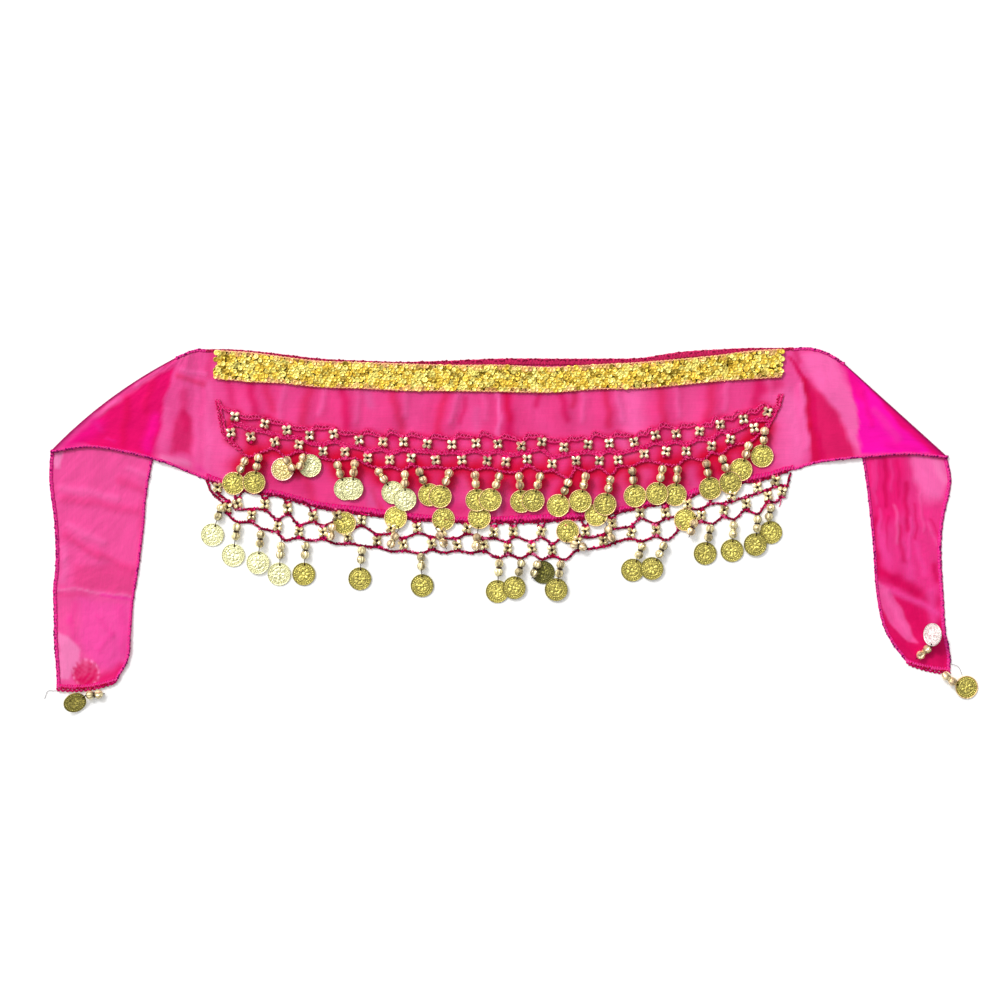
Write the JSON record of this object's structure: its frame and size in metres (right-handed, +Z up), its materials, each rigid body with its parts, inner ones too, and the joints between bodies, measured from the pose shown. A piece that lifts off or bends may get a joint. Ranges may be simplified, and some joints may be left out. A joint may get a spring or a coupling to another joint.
{
  "type": "belly dance hip scarf",
  "caption": "Sheer chiffon hip scarf laid flat, with two folded ties, a sequin band, beaded lace and rows of coin drops.",
  "frame": {"origin": "on the surface the scarf lies on, under the body panel, midway along its length and level with the lower edge of the upper lace's middle", "axes": "+X along the waist edge towards the right-hand tie, +Y towards the waist edge, +Z up, out of the surface it lies on"},
  "size_m": [0.6963, 0.2738, 0.0156],
  "materials": {
    "chiffon": "sheer hot pink chiffon with a faint sheen",
    "crochet": "matte twisted crochet yarn",
    "sequins": "overlapping gold sequins",
    "coins": "stamped gold-coloured metal coins and plated beads"
  },
  "bodies": {
    "root": {"body_panel": "chiffon", "left_tie": "chiffon", "right_tie": "chiffon", "sequin_band": "sequins", "upper_lace": "crochet", "hem_lace": "crochet", "upper_drop_01": "coins", "upper_drop_02": "coins", "upper_drop_03": "coins", "upper_drop_04": "coins", "upper_drop_05": "coins", "upper_drop_06": "coins", "upper_drop_07": "coins", "upper_drop_08": "coins", "upper_drop_09": "coins", "upper_drop_10": "coins", "upper_drop_11": "coins", "upper_drop_12": "coins", "upper_drop_13": "coins", "upper_drop_14": "coins", "upper_drop_15": "coins", "upper_drop_16": "coins", "upper_drop_17": "coins", "upper_drop_18": "coins", "upper_drop_19": "coins", "upper_drop_20": "coins", "upper_drop_21": "coins", "upper_drop_22": "coins", "upper_drop_23": "coins", "upper_drop_24": "coins", "left_hem_drop_01": "coins", "left_hem_drop_02": "coins", "left_hem_drop_03": "coins", "left_hem_drop_04": "coins", "left_hem_drop_05": "coins", "left_hem_drop_06": "coins", "left_hem_drop_07": "coins", "left_hem_drop_08": "coins", "right_hem_drop_01": "coins", "right_hem_drop_02": "coins", "right_hem_drop_03": "coins", "right_hem_drop_04": "coins", "right_hem_drop_05": "coins", "right_hem_drop_06": "coins", "right_hem_drop_07": "coins", "right_hem_drop_08": "coins", "right_hem_drop_09": "coins", "flipped_drop_01": "coins", "flipped_drop_02": "coins", "flipped_drop_03": "coins", "flipped_drop_04": "coins", "flipped_drop_05": "coins", "flipped_drop_06": "coins", "flipped_drop_07": "coins", "left_tie_drop": "coins", "left_tie_coin": "coins", "right_tie_drop": "coins", "right_end_drop": "coins"}
  },
  "joints": []
}
